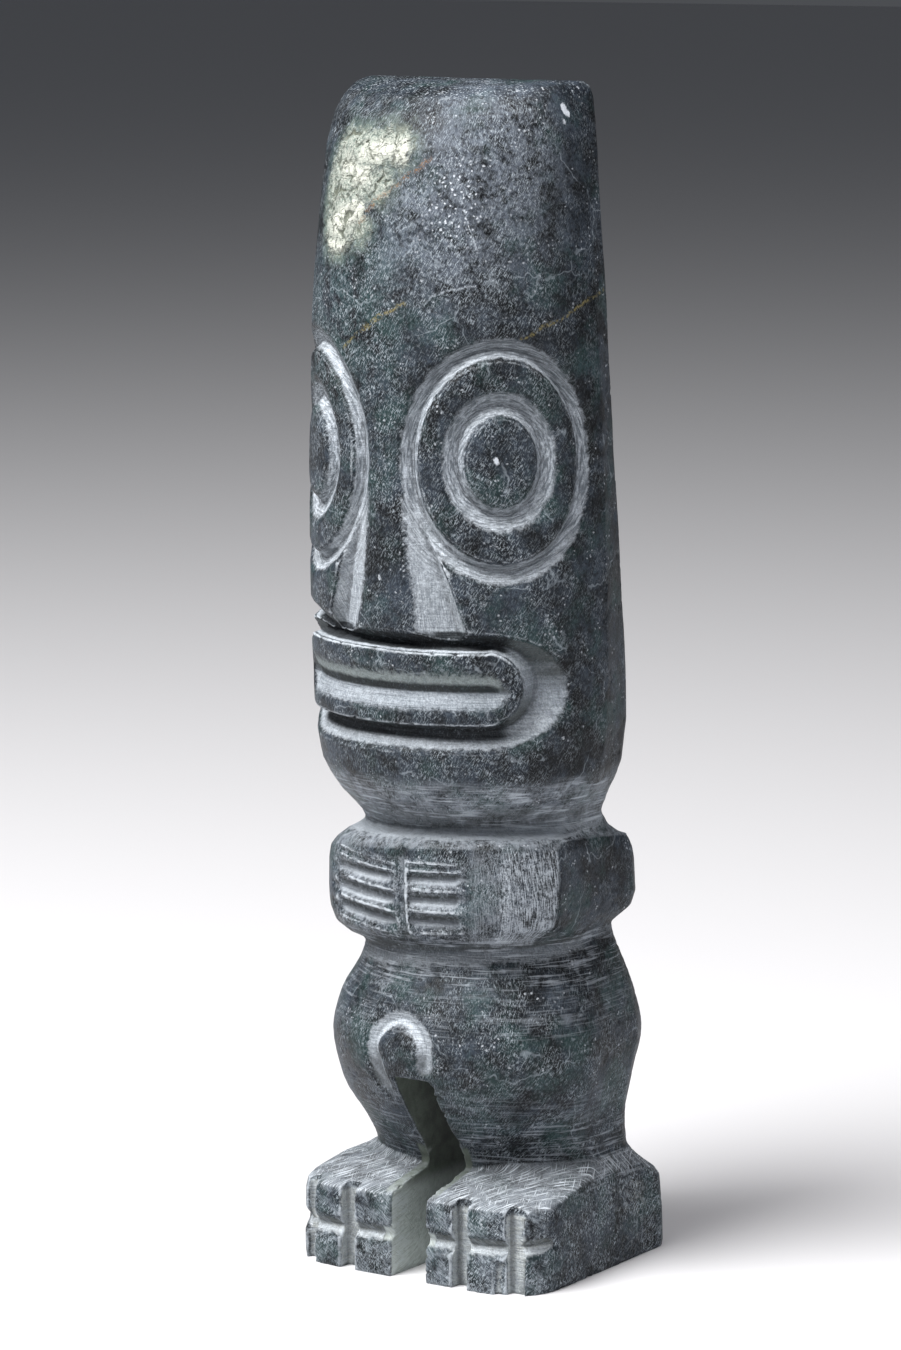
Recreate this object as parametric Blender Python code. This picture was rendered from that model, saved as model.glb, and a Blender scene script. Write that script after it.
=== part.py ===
"""A standing ancestor figure of the tiki kind, carved from one block of dark stone.

The model is in metres with +Z up. The face looks towards -Y, the figure's own left side is +X,
and the origin lies under the middle of its outline, on the level that it stands on.
"""

import math
from collections import namedtuple

import bpy
import bmesh
from mathutils import Vector

# Driving dimension. The pose, the proportions and the carving are shares of the figure's height:
# every length below is in units, each a 149th of it, and every turn is in degrees.
FIGURE_HEIGHT = 0.149
UNIT = FIGURE_HEIGHT / 149

# A level is one outline of the uncarved block.
# Its front curve runs from front, in the middle, out to half_width at flank, and the powers shape it.
# Its rear is flat at back, back_half_width to each side, and corner rounds it into the flanks.
# rise_left and rise_back slant it up towards the figure's left side and its rear.
Level = namedtuple(
    "Level",
    "height half_width front flank front_power side_power back back_half_width corner rise_left rise_back",
)
LEVELS = (
    # feet
    Level(0.0, 18.3, -12.0, -5.0, 7.0, 2.0, 20.8, 18.0, 1.6, 0, 0),
    Level(0.6, 18.5, -12.1, -5.0, 7.0, 2.0, 21.1, 18.2, 1.8, 0, 0),
    Level(9.2, 18.5, -12.0, -5.0, 7.0, 2.0, 20.3, 18.1, 1.8, 0.01, 0),
    Level(10.3, 18.3, -11.7, -4.8, 7.0, 2.0, 19.9, 17.9, 1.8, 0.01, -0.02),
    Level(10.9, 18.2, -10.3, -3.6, 6.0, 2.0, 19.4, 17.8, 2.0, 0.01, -0.02),
    Level(11.9, 17.9, -6.4, 1.2, 4.0, 2.0, 18.1, 17.5, 2.4, 0.01, -0.02),
    # ankles
    Level(12.7, 17.2, -3.2, 4.8, 2.6, 1.8, 16.9, 17.0, 2.8, 0.03, -0.02),
    Level(13.7, 16.5, -3.4, 7.4, 2.0, 1.7, 16.0, 16.4, 3.2, 0.05, -0.01),
    Level(17.0, 16.2, -5.6, 5.0, 2.0, 1.7, 15.8, 16.4, 3.4, 0.05, 0),
    # hips
    Level(23.0, 18.0, -9.9, 2.2, 2.0, 1.8, 16.6, 17.2, 3.8, 0.03, 0),
    Level(29.4, 18.8, -13.0, 2.4, 2.0, 1.8, 18.0, 17.8, 4.0, 0, 0),
    Level(34.0, 18.0, -11.8, 3.0, 2.0, 1.8, 16.8, 17.2, 3.6, 0.02, 0),
    # waist
    Level(40.4, 15.7, -8.7, 4.8, 2.0, 1.8, 13.6, 15.8, 3.0, 0.08, 0),
    Level(41.4, 15.5, -8.5, 4.8, 2.0, 1.8, 13.2, 15.6, 2.6, 0.08, 0),
    # arms
    Level(42.2, 15.7, -9.0, 2.6, 2.0, 1.6, 13.0, 15.6, 2.6, 0.08, 0),
    Level(43.0, 16.2, -10.5, -0.4, 2.0, 1.4, 14.0, 16.2, 2.6, 0.08, 0),
    Level(44.2, 16.8, -11.7, -2.8, 2.0, 1.3, 15.3, 17.0, 2.4, 0.07, 0),
    Level(46.0, 17.2, -12.3, -3.5, 2.0, 1.25, 16.0, 17.3, 2.4, 0.07, 0),
    Level(48.6, 17.4, -12.6, -3.6, 2.0, 1.25, 15.9, 17.2, 2.4, 0.08, -0.06),
    Level(51.8, 17.4, -12.6, -3.6, 2.0, 1.25, 15.8, 17.1, 2.4, 0.08, -0.12),
    Level(53.4, 17.3, -12.3, -3.2, 2.0, 1.3, 15.4, 17.0, 2.4, 0.08, -0.12),
    Level(54.6, 17.0, -11.5, -1.8, 2.0, 1.4, 14.6, 16.7, 2.4, 0.08, -0.1),
    Level(55.3, 16.5, -10.3, 0.4, 2.0, 1.5, 13.2, 16.3, 2.4, 0.06, -0.1),
    Level(55.9, 16.0, -9.1, 3.0, 2.0, 1.7, 11.6, 15.8, 2.4, 0.06, -0.06),
    # neck
    Level(56.8, 15.4, -8.0, 4.8, 2.0, 1.9, 10.4, 15.6, 2.4, 0.07, 0),
    Level(58.0, 15.7, -8.9, 5.0, 2.0, 1.9, 9.9, 16.1, 2.2, 0.06, 0),
    # head
    Level(60.8, 17.4, -12.4, 4.0, 2.0, 2.0, 9.7, 17.1, 2.0, 0.03, 0),
    Level(64.6, 19.1, -15.4, 3.0, 2.0, 2.0, 10.4, 18.2, 1.8, 0, 0),
    Level(70.0, 19.9, -16.6, 2.8, 2.0, 2.0, 11.0, 18.5, 1.6, 0, 0),
    Level(84.0, 20.2, -17.2, 2.6, 2.0, 2.0, 9.9, 18.5, 1.6, 0, 0),
    Level(102.0, 19.9, -17.8, 2.0, 2.0, 2.0, 7.9, 18.5, 1.6, 0, 0),
    Level(121.0, 19.1, -17.5, 1.4, 2.0, 2.0, 6.2, 18.2, 1.4, 0, 0),
    Level(134.0, 18.0, -16.3, 0.8, 2.0, 2.0, 5.3, 17.7, 1.2, 0, 0),
    # crown
    Level(141.0, 17.4, -14.8, 0.6, 2.0, 2.0, 5.2, 17.3, 1.2, 0, 0),
    Level(145.0, 16.7, -12.8, 0.6, 2.0, 2.0, 5.1, 17.0, 1.2, 0, 0),
    Level(147.2, 16.0, -10.3, 0.8, 2.0, 2.0, 5.0, 16.8, 1.2, 0, 0),
    Level(148.4, 15.3, -7.4, 1.0, 2.0, 2.0, 4.8, 16.4, 1.1, 0, 0),
    Level(149.0, 14.4, -4.2, 1.2, 2.0, 2.0, 4.2, 15.7, 1.0, 0, 0),
)
CENTRE_BACK = (max(level.back for level in LEVELS) + min(level.front for level in LEVELS)) / 2

# Fineness of the block: rings lie close between the ankles and the chin, where its sides curve
CURVED_SPAN = (13.7, 64.6)
CURVED_RING_SPACING = 1.7
PLAIN_RING_SPACING = 4.8
FRONT_STEPS = 28
FLANK_STEPS = 1
CORNER_STEPS = 2
BACK_STEPS = 4

# The face was laid out a little to the figure's left of the block's middle.
FACE_TURN = 1.75

# Eyes: a pupil and a ring round it, each bounded by a V groove with a steep inner wall
EYE_TURN = 43.7
EYE_HEIGHT = 103.7
EYE_DEGREES_PER_UNIT = 2.45
PUPIL_RADIUS = 5.2
PUPIL_GROOVE_FLOOR = 6.7
RING_INNER_RADIUS = 9.3
RING_OUTER_RADIUS = 12.2
RING_GROOVE_FLOOR = 13.5
EYE_RADIUS = 15.6
EYE_GROOVE_DEPTH = 1.5
EYE_STEPS = 36

# Mouth: bars with rounded ends, given by how far each end turns, half the height and the end's length
Bar = namedtuple("Bar", "left_turn right_turn half_height end_length")
LIPS = Bar(51.2, -61.0, 4.6, 14.0)
MOUTH_FLOOR = Bar(59.2, -69.0, 5.35, 19.0)
MOUTH_RIM = Bar(71.4, -80.0, 7.6, 36.0)
LIPS_HEIGHT = 75.95
FLOOR_HEIGHT = LIPS_HEIGHT - 0.25
RIM_HEIGHT = LIPS_HEIGHT - 0.65
MOUTH_DEPTH = 2.6
BAR_END_STEPS = 12
BAR_STEPS = 14
LIP_SLOT_TURNS = (-58.0, 47.4)
LIP_SLOT_HEIGHT = LIPS_HEIGHT - 0.65
LIP_SLOT_UPPER_WIDTH = 3.0
LIP_SLOT_LOWER_WIDTH = 2.4
LIP_SLOT_DEPTH = 1.45
LIP_SLOT_STEPS = 28
LIPS_TOP = LIPS_HEIGHT + LIPS.half_height
# The cheek over the mouth's right end is cut away towards the side.
CHEEK_CUT_START_RISE = 1.05
CHEEK_CUT_END_RISE = 2.85
CHEEK_CUT_START = (-20.0, LIPS_TOP + CHEEK_CUT_START_RISE)
CHEEK_CUT_END = (-84.0, LIPS_TOP + CHEEK_CUT_END_RISE)
CHEEK_CUT_UPPER_WIDTH = 2.4
CHEEK_CUT_LOWER_WIDTH = 1.0
CHEEK_CUT_DEPTH = 2.2
# Under the nose the mouth's groove is sawn deeper, as a narrow dark slot.
NOSE_SLOT_START = (-40.0, LIPS_TOP + 0.95)
NOSE_SLOT_END = (43.0, LIPS_TOP + 0.35)
NOSE_SLOT_HALF_WIDTH = 0.75
NOSE_SLOT_DEPTH = 3.6

# Nose: down each side, the height, the turns of the nose's two edges, the groove's floor and the cheek,
# and the groove's depth
NoseSide = namedtuple("NoseSide", "height left_edge right_edge floor cheek depth")
NOSE_SIDE = (
    NoseSide(100.8, 5.5, 5.5, 7.2, 7.6, 0.3),
    NoseSide(97.5, 5.3, 5.4, 11.6, 13.2, 1.15),
    NoseSide(92.5, 7.1, 7.4, 17.8, 20.3, 1.7),
    NoseSide(81.9, 11.7, 14.4, 27.0, 31.1, 2.0),
)

# Hands: the gap between them and three grooves that part four fingers on each
FINGER_HEIGHTS = (50.1, 48.0, 45.8)
FINGER_UPPER_WIDTH = 0.65
FINGER_LOWER_WIDTH = 0.9
FINGER_DEPTH = 0.6
LEFT_FINGERS = (1.6, 31.5)
RIGHT_FINGERS = (-58.0, -6.6)
RIGHT_FINGER_RISES = (0.9, 0.2)
TOP_FINGER = ((2.6, 52.4), (27.0, 52.5))
TOP_FINGER_WIDTH = 0.4
TOP_FINGER_DEPTH = 0.3
HAND_GAP_TURN = -0.9
HAND_GAP_HEIGHTS = (43.0, 53.6)
HAND_GAP_LEFT_WIDTH = 0.55
HAND_GAP_RIGHT_WIDTH = 1.0
HAND_GAP_DEPTH = 0.6
GROOVE_STEPS = 8

# Slot between the legs, sawn from front to back
SLOT_RIGHT = -2.5
SLOT_LEFT = 2.9
SLOT_TOP = 25.6

# Boss over the slot, left standing by an arched groove with a tail down the right thigh
ARCH_TURN = -3.4
ARCH_HALF_TURN = 12.6
ARCH_HEIGHT = SLOT_TOP + 3.7
ARCH_RISE = 4.0
ARCH_START = -50
ARCH_END = 205
ARCH_TAIL = ((-15.2, SLOT_TOP), (-14.6, SLOT_TOP - 1.7), (-14.0, SLOT_TOP - 3.4))
ARCH_INNER_WIDTH = 1.5
ARCH_OUTER_WIDTH = 1.7
ARCH_DEPTH = 1.1
ARCH_STEPS = 16

# Toes: upright filed grooves, one level groove across them all, and a false start beside one groove
ToeGroove = namedtuple("ToeGroove", "right left floor")
TOE_GROOVE_TOP = 17.6
TOE_GROOVES = (
    ToeGroove(-16.3, -14.5, -9.4),
    ToeGroove(-10.1, -8.0, -10.1),
    ToeGroove(6.8, 9.0, -10.1),
    ToeGroove(14.3, 16.5, -9.6),
)
JOINT_START = (-80.0, 5.0)
JOINT_END = (86.0, 6.0)
JOINT_HALF_HEIGHT = 1.5
JOINT_DEPTH = 1.2
JOINT_STEPS = 24
SPARE_CUT_WIDTH = 1.4
SPARE_CUT_TOP = 4.3
SPARE_CUT_FLOOR = -11.0

# How far a cutter reaches past the skin: beside the figure, and over a groove's edges
CLEAR = 4.0
EDGE_RISE = 0.9

STONE_COLOUR = (0.045, 0.055, 0.062, 1.0)
STONE_ROUGHNESS = 0.45


def eased_slopes(heights, values):
    """Slopes of a smooth curve through the values that never overshoots them."""
    gaps = [b - a for a, b in zip(heights, heights[1:])]
    rises = [(b - a) / gap for a, b, gap in zip(values, values[1:], gaps)]
    slopes = [rises[0]]
    for before, after, gap_before, gap_after in zip(rises, rises[1:], gaps, gaps[1:]):
        if before * after <= 0:
            slopes.append(0.0)
        else:
            share_before = 2 * gap_after + gap_before
            share_after = gap_after + 2 * gap_before
            slopes.append((share_before + share_after) / (share_before / before + share_after / after))
    slopes.append(rises[-1])
    return slopes


HEIGHTS = [level.height for level in LEVELS]
SLOPES = {name: eased_slopes(HEIGHTS, [getattr(level, name) for level in LEVELS]) for name in Level._fields}


def level_at(height):
    """The block's outline at any height, eased between the listed levels."""
    height = min(max(height, HEIGHTS[0]), HEIGHTS[-1])
    upper = next(i for i in range(1, len(LEVELS)) if height <= HEIGHTS[i])
    lower = upper - 1
    gap = HEIGHTS[upper] - HEIGHTS[lower]
    t = (height - HEIGHTS[lower]) / gap
    found = {}
    for name in Level._fields:
        start, end = getattr(LEVELS[lower], name), getattr(LEVELS[upper], name)
        slope_start, slope_end = SLOPES[name][lower] * gap, SLOPES[name][upper] * gap
        found[name] = (
            (2 * t**3 - 3 * t**2 + 1) * start
            + (t**3 - 2 * t**2 + t) * slope_start
            + (3 * t**2 - 2 * t**3) * end
            + (t**3 - t**2) * slope_end
        )
    return Level(**found)


def front_plan(level, turn):
    """A point of a level's front curve, at a turn from the middle towards the figure's left."""
    across = math.sin(math.radians(turn))
    bulge = max(0.0, 1 - abs(across) ** level.front_power) ** (1 / level.side_power)
    return level.half_width * across, level.flank + (level.front - level.flank) * bulge


def placed(level, x, y):
    """The place of a level's point, with the level's own slant."""
    return Vector((x, y, level.height + level.rise_left * x + level.rise_back * y))


def skin(turn, height, depth=0.0):
    """A point of the front skin, or one that lies depth below it."""
    level = level_at(height)
    point = placed(level, *front_plan(level, turn))
    if not depth:
        return point
    across = skin(turn + 0.5, height) - skin(turn - 0.5, height)
    up = skin(turn, height + 0.2) - skin(turn, height - 0.2)
    return point - depth * across.cross(up).normalized()


def outline(level):
    """The whole outline of a level, counter-clockwise seen from above."""
    half_front = FRONT_STEPS // 2
    left_half = [front_plan(level, 90 * i / half_front) for i in range(half_front + 1)]
    flank_start = left_half[-1]
    flank_end = (level.back_half_width, level.back - level.corner)
    for i in range(1, FLANK_STEPS + 1):
        share = i / FLANK_STEPS
        left_half.append(tuple(a + (b - a) * share for a, b in zip(flank_start, flank_end)))
    for i in range(1, CORNER_STEPS + 1):
        turn = math.radians(90 * i / CORNER_STEPS)
        x = level.back_half_width - level.corner * (1 - math.cos(turn))
        left_half.append((x, level.back - level.corner * (1 - math.sin(turn))))
    half_back = level.back_half_width - level.corner
    left_half += [(half_back * (1 - 2 * i / BACK_STEPS), level.back) for i in range(1, BACK_STEPS // 2 + 1)]
    right_half = [(-x, y) for x, y in reversed(left_half[1:-1])]
    return [placed(level, x, y) for x, y in left_half + right_half]


def ring_heights():
    """Every listed level, with more rings between those that lie far apart."""
    heights = [HEIGHTS[0]]
    for low, high in zip(HEIGHTS, HEIGHTS[1:]):
        curved = CURVED_SPAN[0] <= low < CURVED_SPAN[1]
        spacing = CURVED_RING_SPACING if curved else PLAIN_RING_SPACING
        steps = max(1, round((high - low) / spacing))
        heights += [low + (high - low) * (i + 1) / steps for i in range(steps)]
    return heights


def object_from(mesh, name):
    """An object from a bmesh in units, brought to metres over the origin."""
    bmesh.ops.translate(mesh, verts=mesh.verts, vec=(0, -CENTRE_BACK, 0))
    bmesh.ops.scale(mesh, verts=mesh.verts, vec=(UNIT, UNIT, UNIT))
    data = bpy.data.meshes.new(name)
    mesh.to_mesh(data)
    mesh.free()
    return bpy.data.objects.new(name, data)


def loft(name, sections, looped=False):
    """A closed solid through like sections, from end to end or round in a loop."""
    mesh = bmesh.new()
    rings = [[mesh.verts.new(point) for point in section] for section in sections]
    pairs = list(zip(rings, rings[1:]))
    if looped:
        pairs.append((rings[-1], rings[0]))
    else:
        mesh.faces.new(rings[0])
        mesh.faces.new(rings[-1])
    for first, second in pairs:
        for i in range(len(first)):
            j = (i + 1) % len(first)
            mesh.faces.new((first[i], first[j], second[j], second[i]))
    bmesh.ops.recalc_face_normals(mesh, faces=mesh.faces)
    return object_from(mesh, name)


def box(name, low, high):
    """A box between two corners."""
    mesh = bmesh.new()
    bmesh.ops.create_cube(mesh, size=1.0)
    low, high = Vector(low), Vector(high)
    bmesh.ops.scale(mesh, verts=mesh.verts, vec=high - low)
    bmesh.ops.translate(mesh, verts=mesh.verts, vec=(low + high) / 2)
    return object_from(mesh, name)


def groove_section(first_edge, floor, second_edge, depth):
    """The V across a groove, drawn on past both of its edges so that it clears the skin."""
    rise = EDGE_RISE / depth
    first_top = [edge + (edge - low) * rise for edge, low in zip(first_edge, floor)]
    second_top = [edge + (edge - low) * rise for edge, low in zip(second_edge, floor)]
    return [skin(*first_top, -EDGE_RISE), skin(*floor, depth), skin(*second_top, -EDGE_RISE)]


def groove(name, path, right_width, left_width, depth, fade=2):
    """A V groove along a path on the skin, with a width to each side, that runs out at both ends."""
    sections = []
    last = len(path) - 1
    for i, (turn, height) in enumerate(path):
        degree = level_at(height).half_width * math.radians(1)
        before, after = path[max(i - 1, 0)], path[min(i + 1, last)]
        along = Vector(((after[0] - before[0]) * degree, after[1] - before[1])).normalized()
        nearness = max(0.0, 1 - (min(i, last - i) + 0.2) / fade)
        fullness = math.sqrt(1 - nearness**2)
        side = Vector((-along.y / degree, along.x)) * fullness
        left_edge = (turn + side.x * left_width, height + side.y * left_width)
        right_edge = (turn - side.x * right_width, height - side.y * right_width)
        sections.append(groove_section(right_edge, (turn, height), left_edge, depth * fullness))
    return loft(name, sections)


def straight_path(start, end, steps):
    """Evenly spaced points between two places on the skin."""
    return [
        tuple(a + (b - a) * i / steps for a, b in zip(start, end))
        for i in range(steps + 1)
    ]


def eye_groove(name, turn, inner, floor, outer):
    """A V groove round an eye, given by its radii."""
    sections = []
    for i in range(EYE_STEPS):
        angle = 2 * math.pi * i / EYE_STEPS
        across, up = EYE_DEGREES_PER_UNIT * math.cos(angle), math.sin(angle)
        edges = [(turn + radius * across, EYE_HEIGHT + radius * up) for radius in (inner, floor, outer)]
        sections.append(groove_section(*edges, EYE_GROOVE_DEPTH))
    return loft(name, sections, looped=True)


def bar_loop(bar, height):
    """Places on the skin round a bar that lies across the face."""
    left_reach = bar.left_turn - bar.end_length
    right_reach = bar.right_turn + bar.end_length
    loop = []
    for side, near, far in ((1, left_reach, right_reach), (-1, right_reach, left_reach)):
        for i in range(BAR_END_STEPS):
            angle = math.radians(180 * i / BAR_END_STEPS - 90)
            turn = near + side * bar.end_length * math.cos(angle)
            loop.append((turn, height + side * bar.half_height * math.sin(angle)))
        for i in range(BAR_STEPS):
            loop.append((near + (far - near) * i / BAR_STEPS, height + side * bar.half_height))
    return loop


def mouth_cutters():
    """The groove round the lips, the slot between them, and the cuts under the cheek and the nose."""
    lips = bar_loop(LIPS, LIPS_HEIGHT)
    floor = bar_loop(MOUTH_FLOOR, FLOOR_HEIGHT)
    rim = bar_loop(MOUTH_RIM, RIM_HEIGHT)
    sections = [groove_section(*edges, MOUTH_DEPTH) for edges in zip(lips, floor, rim)]
    yield loft("mouth_groove", sections, looped=True)
    slot = straight_path(*((turn, LIP_SLOT_HEIGHT) for turn in LIP_SLOT_TURNS), LIP_SLOT_STEPS)
    widths = LIP_SLOT_LOWER_WIDTH, LIP_SLOT_UPPER_WIDTH
    yield groove("lip_slot", slot, *widths, LIP_SLOT_DEPTH, fade=3)
    cheek = straight_path(CHEEK_CUT_END, CHEEK_CUT_START, BAR_STEPS)
    widths = CHEEK_CUT_LOWER_WIDTH, CHEEK_CUT_UPPER_WIDTH
    yield groove("cheek_cut", cheek, *widths, CHEEK_CUT_DEPTH, fade=4)
    under_nose = straight_path(NOSE_SLOT_START, NOSE_SLOT_END, BAR_STEPS)
    widths = NOSE_SLOT_HALF_WIDTH, NOSE_SLOT_HALF_WIDTH
    yield groove("nose_slot", under_nose, *widths, NOSE_SLOT_DEPTH, fade=2)


def nose_groove(side, name):
    """The groove that cuts one side of the nose free of the cheek."""
    sections = []
    for row in NOSE_SIDE:
        edge = row.left_edge if side > 0 else row.right_edge
        edges = [(FACE_TURN + side * turn, row.height) for turn in (edge, row.floor, row.cheek)]
        sections.append(groove_section(*edges, row.depth))
    return loft(name, sections)


def face_cutters():
    """Eyes, nose and mouth."""
    for side, word in ((1, "left"), (-1, "right")):
        turn = FACE_TURN + side * EYE_TURN
        pupil = PUPIL_RADIUS, PUPIL_GROOVE_FLOOR, RING_INNER_RADIUS
        ring = RING_OUTER_RADIUS, RING_GROOVE_FLOOR, EYE_RADIUS
        yield eye_groove(f"{word}_pupil_groove", turn, *pupil)
        yield eye_groove(f"{word}_ring_groove", turn, *ring)
        yield nose_groove(side, f"{word}_nose_groove")
    yield from mouth_cutters()


def hand_cutters():
    """The gap between the hands and the gaps between their fingers."""
    gap = straight_path(*((HAND_GAP_TURN, height) for height in HAND_GAP_HEIGHTS), GROOVE_STEPS)
    widths = HAND_GAP_LEFT_WIDTH, HAND_GAP_RIGHT_WIDTH
    yield groove("hand_gap", gap, *widths, HAND_GAP_DEPTH, fade=1)
    widths = FINGER_LOWER_WIDTH, FINGER_UPPER_WIDTH
    hands = ("left", LEFT_FINGERS, (0, 0)), ("right", RIGHT_FINGERS, RIGHT_FINGER_RISES)
    for word, turns, rises in hands:
        for i, height in enumerate(FINGER_HEIGHTS):
            start, end = ((turn, height + rise) for turn, rise in zip(turns, rises))
            path = straight_path(start, end, GROOVE_STEPS)
            yield groove(f"{word}_fingers_{i}", path, *widths, FINGER_DEPTH, fade=1)
    top = straight_path(*TOP_FINGER, GROOVE_STEPS)
    yield groove("top_finger", top, TOP_FINGER_WIDTH, TOP_FINGER_WIDTH, TOP_FINGER_DEPTH, fade=1)


def arch_groove():
    """The arched groove that leaves the boss standing."""
    path = []
    for i in range(ARCH_STEPS + 1):
        angle = math.radians(ARCH_START + (ARCH_END - ARCH_START) * i / ARCH_STEPS)
        turn = ARCH_TURN + ARCH_HALF_TURN * math.cos(angle)
        path.append((turn, ARCH_HEIGHT + ARCH_RISE * math.sin(angle)))
    path += ARCH_TAIL
    return groove("arch_groove", path, ARCH_OUTER_WIDTH, ARCH_INNER_WIDTH, ARCH_DEPTH, fade=2)


def leg_cutters():
    """The boss, the slot between the legs and the toes."""
    front = min(level.front for level in LEVELS) - CLEAR
    back = max(level.back for level in LEVELS) + CLEAR
    yield arch_groove()
    yield box("leg_slot", (SLOT_RIGHT, front, -CLEAR), (SLOT_LEFT, back, SLOT_TOP))
    for i, cut in enumerate(TOE_GROOVES):
        yield box(f"toe_groove_{i}", (cut.right, front, -CLEAR), (cut.left, cut.floor, TOE_GROOVE_TOP))
    last = TOE_GROOVES[-1]
    spare_right = last.right - SPARE_CUT_WIDTH
    yield box("spare_cut", (spare_right, front, -CLEAR), (last.left, SPARE_CUT_FLOOR, SPARE_CUT_TOP))
    joints = straight_path(JOINT_START, JOINT_END, JOINT_STEPS)
    yield groove("toe_joint_groove", joints, JOINT_HALF_HEIGHT, JOINT_HALF_HEIGHT, JOINT_DEPTH, fade=2)


def stone():
    """Dark stone, rubbed to a low sheen."""
    material = bpy.data.materials.new("stone")
    material.use_nodes = True
    shader = material.node_tree.nodes["Principled BSDF"]
    shader.inputs["Base Color"].default_value = STONE_COLOUR
    shader.inputs["Roughness"].default_value = STONE_ROUGHNESS
    shader.inputs["Metallic"].default_value = 0.0
    return material


def carve(figure, cutter, cutters):
    """One Boolean cut, with its cutter kept out of sight."""
    cutters.objects.link(cutter)
    cutter.display_type = "WIRE"
    cutter.hide_render = True
    cut = figure.modifiers.new(cutter.name, "BOOLEAN")
    cut.operation = "DIFFERENCE"
    cut.solver = "EXACT"
    cut.object = cutter


def main():
    for old in list(bpy.data.objects):
        bpy.data.objects.remove(old)
    parts = bpy.data.collections.new("tiki_figure")
    cutters = bpy.data.collections.new("cutters")
    bpy.context.scene.collection.children.link(parts)
    bpy.context.scene.collection.children.link(cutters)
    figure = loft("tiki_figure", [outline(level_at(height)) for height in ring_heights()])
    parts.objects.link(figure)
    figure.data.materials.append(stone())
    for make in (face_cutters, hand_cutters, leg_cutters):
        for cutter in make():
            carve(figure, cutter, cutters)


main()
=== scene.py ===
"""A carved dark-stone deity figure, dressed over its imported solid, on a pale studio floor."""

import functools
import math

import bpy
import numpy as np
from bpy.props import FloatProperty, FloatVectorProperty, IntProperty, PointerProperty
from mathutils import Matrix, Vector


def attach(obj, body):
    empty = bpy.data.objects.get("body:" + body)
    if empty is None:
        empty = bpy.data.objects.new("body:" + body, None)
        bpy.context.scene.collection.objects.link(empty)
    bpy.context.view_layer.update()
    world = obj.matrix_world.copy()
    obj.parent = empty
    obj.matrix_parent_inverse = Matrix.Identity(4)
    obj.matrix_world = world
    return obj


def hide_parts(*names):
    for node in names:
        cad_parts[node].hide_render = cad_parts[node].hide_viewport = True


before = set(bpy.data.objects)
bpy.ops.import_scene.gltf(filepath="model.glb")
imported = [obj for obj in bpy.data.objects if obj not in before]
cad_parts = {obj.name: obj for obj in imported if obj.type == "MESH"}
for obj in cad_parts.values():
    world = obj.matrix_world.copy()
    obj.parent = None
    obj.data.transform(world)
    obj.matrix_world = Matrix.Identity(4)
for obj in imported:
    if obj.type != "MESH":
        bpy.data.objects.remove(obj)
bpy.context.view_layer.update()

bl_info = {
    "name": "Carved Stone Figure",
    "version": (1, 0, 0),
    "blender": (4, 5, 0),
    "location": "View3D > Sidebar > Stone Figure",
    "description": "A carved stone deity figure with worn edges, tool marks and veins",
    "category": "Object",
}

SOLID_NAME = "tiki_figure"
PIECE_NAME = "stone_figure"
MM = 0.001
MERGE_DISTANCE = 0.00001
FAR = 1000.0
WEIGHT_STEPS = 16

# The shape of the skin before it was carved, read off in level bands and round the compass.
BAND = 0.5
COMPASS = 72
WIDE_GROOVES_FROM = 64.0
WIDE_REACH = 3.0
NARROW_REACH = 1.6

# Smoothing passes that show which corners stand out, and how far a worn edge stands out.
BULGE_PASSES = 10
EDGE_BULGE = (0.03, 0.10)

# Places on the stone's skin: millimetres round from the front, and height above the floor.
SKIN_RADIUS = 19.0
SKIN_CENTRE_Y = -1.0
LEFT_EYE_WAY = 16.1
RIGHT_EYE_WAY = -14.9
EYE_HEIGHT = 103.7

# Hollows between the fingers: height, share of the full depth and half width.
FINGER_GROOVES = ((52.9, 0.5, 0.4), (51.2, 0.6, 1.25), (48.6, 0.85, 1.35), (45.9, 1.0, 1.35))
# Where the fingers of each hand begin and end, how much they rise, and how far they drop.
FINGER_RUNS = ((0.8, 10.4, 0.0, 0.0), (-18.5, -2.2, 0.67, -0.45))

# Bars on the skin, each with its two ends and its radius.
PATCH_BODY = (
    ((-9.6, 141.0), (1.2, 141.2), 3.2),
    ((-9.8, 138.0), (-9.0, 131.6), 4.3),
    ((-7.0, 136.6), (-1.4, 136.8), 2.9),
    ((-7.0, 131.0), (-4.4, 131.6), 2.8),
)
PATCH_CORES = (
    ((-5.1, 140.9), (2.2, 140.9), 1.5),
    ((-9.1, 138.6), (-4.4, 137.8), 1.6),
    ((-9.6, 131.8), (-5.2, 133.6), 1.9),
    ((-10.6, 129.3), (-8.0, 129.4), 1.2),
)
WHITE_CHIPS = (
    ((27.2, 146.0), (27.7, 145.3), 0.6),
    ((26.6, 144.4), (26.8, 144.1), 0.3),
    ((15.2, 104.1), (15.4, 103.8), 0.42),
    ((-0.2, 89.4), (-0.1, 89.2), 0.28),
)
GREEN_BROW = (((-6.0, 127.0), (-8.0, 120.0), 11.0),)
# A painted sheen, the broad reflection of the key light on the polished brow, lies over this bar.
BROW_SHEEN_BAR = (((9.0, 134.0), (15.0, 139.0), 10.0),)
FLECKED_BROW = (((10.5, 136.6), (10.0, 133.6), 4.6),)

# The crust's flakes: the corners of the field that their middles lie in, and their cracks.
FLAKE_FIELD = ((-17.0, 122.0), (8.0, 147.0))
FLAKE_COUNT = 70
FLAKE_SEED = 11
FLAKE_GAP = 0.38

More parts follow.
